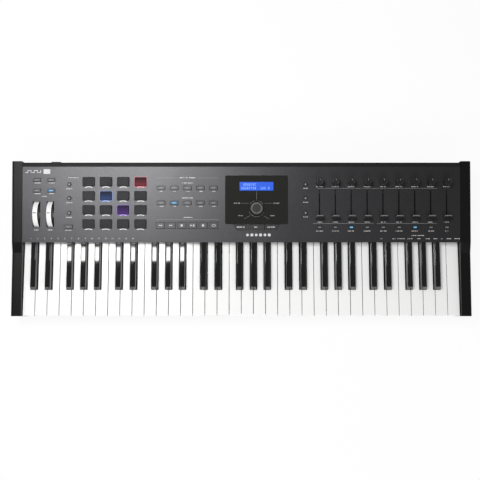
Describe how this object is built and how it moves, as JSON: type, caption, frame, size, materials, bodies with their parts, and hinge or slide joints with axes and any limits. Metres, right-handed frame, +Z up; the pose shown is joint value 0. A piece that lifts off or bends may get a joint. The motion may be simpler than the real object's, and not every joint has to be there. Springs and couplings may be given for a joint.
{
  "type": "synthesizer",
  "caption": "Keyboard synthesizer with a full set of sprung keys, drum pads, two wheels, buttons, a screen with a push encoder, knobs and faders on a sloping panel.",
  "frame": {"origin": "on the table under the middle of the case", "axes": "+X from the low keys to the high keys, +Y from the player to the rear, +Z up"},
  "size_m": [0.888, 0.298, 0.0837],
  "materials": {
    "panel_paint": "satin metallic grey paint",
    "case_plastic": "fine-grained black",
    "key_white": "glossy white",
    "key_black": "glossy black",
    "sheet_steel": "zinc plated",
    "spring_steel": "bright wire",
    "felt": "woven felt",
    "contact_rubber": "silicone",
    "foot_rubber": "matte",
    "board": "green laminate",
    "bezel_gloss": "high gloss black",
    "screen": "backlit blue",
    "control_case": "moulded black",
    "socket": "moulded black",
    "screw_steel": "black oxide",
    "wheel_white": "satin white",
    "knob_black": "satin black",
    "pad_rubber": "soft charcoal",
    "button_dark": "satin charcoal"
  },
  "bodies": {
    "case": {"bottom_case": "case_plastic", "top_panel": "panel_paint", "rear_housing": "case_plastic", "left_cheek": "case_plastic", "right_cheek": "case_plastic", "keybed_chassis": "sheet_steel", "key_springs": "spring_steel", "key_felt": "felt", "key_contact_strips": "contact_rubber", "circuit_boards": "board", "display_bezel": "bezel_gloss", "display_module": "screen", "control_bodies": "control_case", "wheel_cradle": "control_case", "rear_sockets": "socket", "rubber_feet": "foot_rubber", "case_screws": "screw_steel"},
    "keys_c": {"keys_c": "key_white"},
    "keys_c_sharp": {"keys_c_sharp": "key_black"},
    "keys_d": {"keys_d": "key_white"},
    "keys_d_sharp": {"keys_d_sharp": "key_black"},
    "keys_e": {"keys_e": "key_white"},
    "keys_f": {"keys_f": "key_white"},
    "keys_f_sharp": {"keys_f_sharp": "key_black"},
    "keys_g": {"keys_g": "key_white"},
    "keys_g_sharp": {"keys_g_sharp": "key_black"},
    "keys_a": {"keys_a": "key_white"},
    "keys_a_sharp": {"keys_a_sharp": "key_black"},
    "keys_b": {"keys_b": "key_white"},
    "pitch_wheel": {"pitch_wheel": "wheel_white"},
    "modulation_wheel": {"modulation_wheel": "wheel_white"},
    "knob_1": {"knob_1": "knob_black"},
    "knob_2": {"knob_2": "knob_black"},
    "knob_3": {"knob_3": "knob_black"},
    "knob_4": {"knob_4": "knob_black"},
    "knob_5": {"knob_5": "knob_black"},
    "knob_6": {"knob_6": "knob_black"},
    "knob_7": {"knob_7": "knob_black"},
    "knob_8": {"knob_8": "knob_black"},
    "knob_9": {"knob_9": "knob_black"},
    "fader_1": {"fader_1": "knob_black"},
    "fader_2": {"fader_2": "knob_black"},
    "fader_3": {"fader_3": "knob_black"},
    "fader_4": {"fader_4": "knob_black"},
    "fader_5": {"fader_5": "knob_black"},
    "fader_6": {"fader_6": "knob_black"},
    "fader_7": {"fader_7": "knob_black"},
    "fader_8": {"fader_8": "knob_black"},
    "fader_9": {"fader_9": "knob_black"},
    "encoder_shaft": {"main_encoder_shaft": "screw_steel"},
    "encoder_knob": {"main_encoder_knob": "knob_black"},
    "power_rocker": {"power_rocker": "button_dark"},
    "rear_drum_pads": {"rear_drum_pads": "pad_rubber"},
    "front_drum_pads": {"front_drum_pads": "pad_rubber"},
    "left_buttons": {"left_buttons": "button_dark"},
    "command_buttons": {"command_buttons": "button_dark"},
    "transport_buttons": {"transport_buttons": "button_dark"},
    "select_buttons": {"select_buttons": "button_dark"},
    "bank_buttons": {"bank_buttons": "button_dark"},
    "mode_buttons": {"mode_buttons": "button_dark"}
  },
  "joints": [
    {"name": "keys_c_press", "type": "hinge", "parent": "case", "child": "keys_c", "pos_m": [0, 0.005, 0.038], "axis": [1, 0, 0], "range_deg": [0, 3.74], "stiffness_Nm_per_rad": 2, "springref_deg": -5.16},
    {"name": "keys_c_sharp_press", "type": "hinge", "parent": "case", "child": "keys_c_sharp", "pos_m": [0, 0.005, 0.038], "axis": [1, 0, 0], "range_deg": [0, 3.74], "stiffness_Nm_per_rad": 2, "springref_deg": -5.16},
    {"name": "keys_d_press", "type": "hinge", "parent": "case", "child": "keys_d", "pos_m": [0, 0.005, 0.038], "axis": [1, 0, 0], "range_deg": [0, 3.74], "stiffness_Nm_per_rad": 2, "springref_deg": -5.16},
    {"name": "keys_d_sharp_press", "type": "hinge", "parent": "case", "child": "keys_d_sharp", "pos_m": [0, 0.005, 0.038], "axis": [1, 0, 0], "range_deg": [0, 3.74], "stiffness_Nm_per_rad": 2, "springref_deg": -5.16},
    {"name": "keys_e_press", "type": "hinge", "parent": "case", "child": "keys_e", "pos_m": [0, 0.005, 0.038], "axis": [1, 0, 0], "range_deg": [0, 3.74], "stiffness_Nm_per_rad": 2, "springref_deg": -5.16},
    {"name": "keys_f_press", "type": "hinge", "parent": "case", "child": "keys_f", "pos_m": [0, 0.005, 0.038], "axis": [1, 0, 0], "range_deg": [0, 3.74], "stiffness_Nm_per_rad": 2, "springref_deg": -5.16},
    {"name": "keys_f_sharp_press", "type": "hinge", "parent": "case", "child": "keys_f_sharp", "pos_m": [0, 0.005, 0.038], "axis": [1, 0, 0], "range_deg": [0, 3.74], "stiffness_Nm_per_rad": 2, "springref_deg": -5.16},
    {"name": "keys_g_press", "type": "hinge", "parent": "case", "child": "keys_g", "pos_m": [0, 0.005, 0.038], "axis": [1, 0, 0], "range_deg": [0, 3.74], "stiffness_Nm_per_rad": 2, "springref_deg": -5.16},
    {"name": "keys_g_sharp_press", "type": "hinge", "parent": "case", "child": "keys_g_sharp", "pos_m": [0, 0.005, 0.038], "axis": [1, 0, 0], "range_deg": [0, 3.74], "stiffness_Nm_per_rad": 2, "springref_deg": -5.16},
    {"name": "keys_a_press", "type": "hinge", "parent": "case", "child": "keys_a", "pos_m": [0, 0.005, 0.038], "axis": [1, 0, 0], "range_deg": [0, 3.74], "stiffness_Nm_per_rad": 2, "springref_deg": -5.16},
    {"name": "keys_a_sharp_press", "type": "hinge", "parent": "case", "child": "keys_a_sharp", "pos_m": [0, 0.005, 0.038], "axis": [1, 0, 0], "range_deg": [0, 3.74], "stiffness_Nm_per_rad": 2, "springref_deg": -5.16},
    {"name": "keys_b_press", "type": "hinge", "parent": "case", "child": "keys_b", "pos_m": [0, 0.005, 0.038], "axis": [1, 0, 0], "range_deg": [0, 3.74], "stiffness_Nm_per_rad": 2, "springref_deg": -5.16},
    {"name": "pitch_wheel_turn", "type": "hinge", "parent": "case", "child": "pitch_wheel", "pos_m": [-0.39565, 0.04825, 0.04746], "axis": [1, 0, 0], "range_deg": [-38, 38], "stiffness_Nm_per_rad": 0.12},
    {"name": "modulation_wheel_turn", "type": "hinge", "parent": "case", "child": "modulation_wheel", "pos_m": [-0.3691, 0.04825, 0.04746], "axis": [1, 0, 0], "range_deg": [-38, 38]},
    {"name": "knob_1_turn", "type": "hinge", "parent": "case", "child": "knob_1", "pos_m": [0.1511, 0.10887, 0.06846], "axis": [0, 0.0854, -0.9963], "continuous": true},
    {"name": "knob_2_turn", "type": "hinge", "parent": "case", "child": "knob_2", "pos_m": [0.1818, 0.10887, 0.06846], "axis": [0, 0.0854, -0.9963], "continuous": true},
    {"name": "knob_3_turn", "type": "hinge", "parent": "case", "child": "knob_3", "pos_m": [0.2125, 0.10887, 0.06846], "axis": [0, 0.0854, -0.9963], "continuous": true},
    {"name": "knob_4_turn", "type": "hinge", "parent": "case", "child": "knob_4", "pos_m": [0.2432, 0.10887, 0.06846], "axis": [0, 0.0854, -0.9963], "continuous": true},
    {"name": "knob_5_turn", "type": "hinge", "parent": "case", "child": "knob_5", "pos_m": [0.2739, 0.10887, 0.06846], "axis": [0, 0.0854, -0.9963], "continuous": true},
    {"name": "knob_6_turn", "type": "hinge", "parent": "case", "child": "knob_6", "pos_m": [0.3046, 0.10887, 0.06846], "axis": [0, 0.0854, -0.9963], "continuous": true},
    {"name": "knob_7_turn", "type": "hinge", "parent": "case", "child": "knob_7", "pos_m": [0.3353, 0.10887, 0.06846], "axis": [0, 0.0854, -0.9963], "continuous": true},
    {"name": "knob_8_turn", "type": "hinge", "parent": "case", "child": "knob_8", "pos_m": [0.366, 0.10887, 0.06846], "axis": [0, 0.0854, -0.9963], "continuous": true},
    {"name": "knob_9_turn", "type": "hinge", "parent": "case", "child": "knob_9", "pos_m": [0.3967, 0.10887, 0.06846], "axis": [0, 0.0854, -0.9963], "continuous": true},
    {"name": "fader_1_slide", "type": "slide", "parent": "case", "child": "fader_1", "axis": [0, 0.9963, 0.0854], "range_m": [0, 0.045]},
    {"name": "fader_2_slide", "type": "slide", "parent": "case", "child": "fader_2", "axis": [0, 0.9963, 0.0854], "range_m": [0, 0.045]},
    {"name": "fader_3_slide", "type": "slide", "parent": "case", "child": "fader_3", "axis": [0, 0.9963, 0.0854], "range_m": [0, 0.045]},
    {"name": "fader_4_slide", "type": "slide", "parent": "case", "child": "fader_4", "axis": [0, 0.9963, 0.0854], "range_m": [0, 0.045]},
    {"name": "fader_5_slide", "type": "slide", "parent": "case", "child": "fader_5", "axis": [0, 0.9963, 0.0854], "range_m": [0, 0.045]},
    {"name": "fader_6_slide", "type": "slide", "parent": "case", "child": "fader_6", "axis": [0, 0.9963, 0.0854], "range_m": [0, 0.045]},
    {"name": "fader_7_slide", "type": "slide", "parent": "case", "child": "fader_7", "axis": [0, 0.9963, 0.0854], "range_m": [0, 0.045]},
    {"name": "fader_8_slide", "type": "slide", "parent": "case", "child": "fader_8", "axis": [0, 0.9963, 0.0854], "range_m": [0, 0.045]},
    {"name": "fader_9_slide", "type": "slide", "parent": "case", "child": "fader_9", "axis": [0, 0.9963, 0.0854], "range_m": [0, 0.045]},
    {"name": "main_encoder_push", "type": "slide", "parent": "case", "child": "encoder_shaft", "axis": [0, 0.0854, -0.9963], "range_m": [0, 0.0005], "stiffness_N_per_m": 4000, "springref_m": -0.0004},
    {"name": "main_encoder_turn", "type": "hinge", "parent": "encoder_shaft", "child": "encoder_knob", "pos_m": [0.0296, 0.05746, 0.06405], "axis": [0, 0.0854, -0.9963], "continuous": true},
    {"name": "power_rocker_rock", "type": "hinge", "parent": "case", "child": "power_rocker", "pos_m": [-0.3581, 0.1453, 0.054], "axis": [1, 0, 0], "range_deg": [0, 14]},
    {"name": "rear_drum_pads_press", "type": "slide", "parent": "case", "child": "rear_drum_pads", "axis": [0, 0.0854, -0.9963], "range_m": [0, 0.001], "stiffness_N_per_m": 3000, "springref_m": -0.0006},
    {"name": "front_drum_pads_press", "type": "slide", "parent": "case", "child": "front_drum_pads", "axis": [0, 0.0854, -0.9963], "range_m": [0, 0.001], "stiffness_N_per_m": 3000, "springref_m": -0.0006},
    {"name": "left_buttons_press", "type": "slide", "parent": "case", "child": "left_buttons", "axis": [0, 0.0854, -0.9963], "range_m": [0, 0.0008], "stiffness_N_per_m": 2500, "springref_m": -0.0006},
    {"name": "command_buttons_press", "type": "slide", "parent": "case", "child": "command_buttons", "axis": [0, 0.0854, -0.9963], "range_m": [0, 0.0008], "stiffness_N_per_m": 2500, "springref_m": -0.0006},
    {"name": "transport_buttons_press", "type": "slide", "parent": "case", "child": "transport_buttons", "axis": [0, 0.0854, -0.9963], "range_m": [0, 0.0008], "stiffness_N_per_m": 2500, "springref_m": -0.0006},
    {"name": "select_buttons_press", "type": "slide", "parent": "case", "child": "select_buttons", "axis": [0, 0.0854, -0.9963], "range_m": [0, 0.0008], "stiffness_N_per_m": 2500, "springref_m": -0.0006},
    {"name": "bank_buttons_press", "type": "slide", "parent": "case", "child": "bank_buttons", "axis": [0, 0.0854, -0.9963], "range_m": [0, 0.0008], "stiffness_N_per_m": 2000, "springref_m": -0.0006},
    {"name": "mode_buttons_press", "type": "slide", "parent": "case", "child": "mode_buttons", "axis": [0, 0.0854, -0.9963], "range_m": [0, 0.0008], "stiffness_N_per_m": 2000, "springref_m": -0.0006}
  ]
}
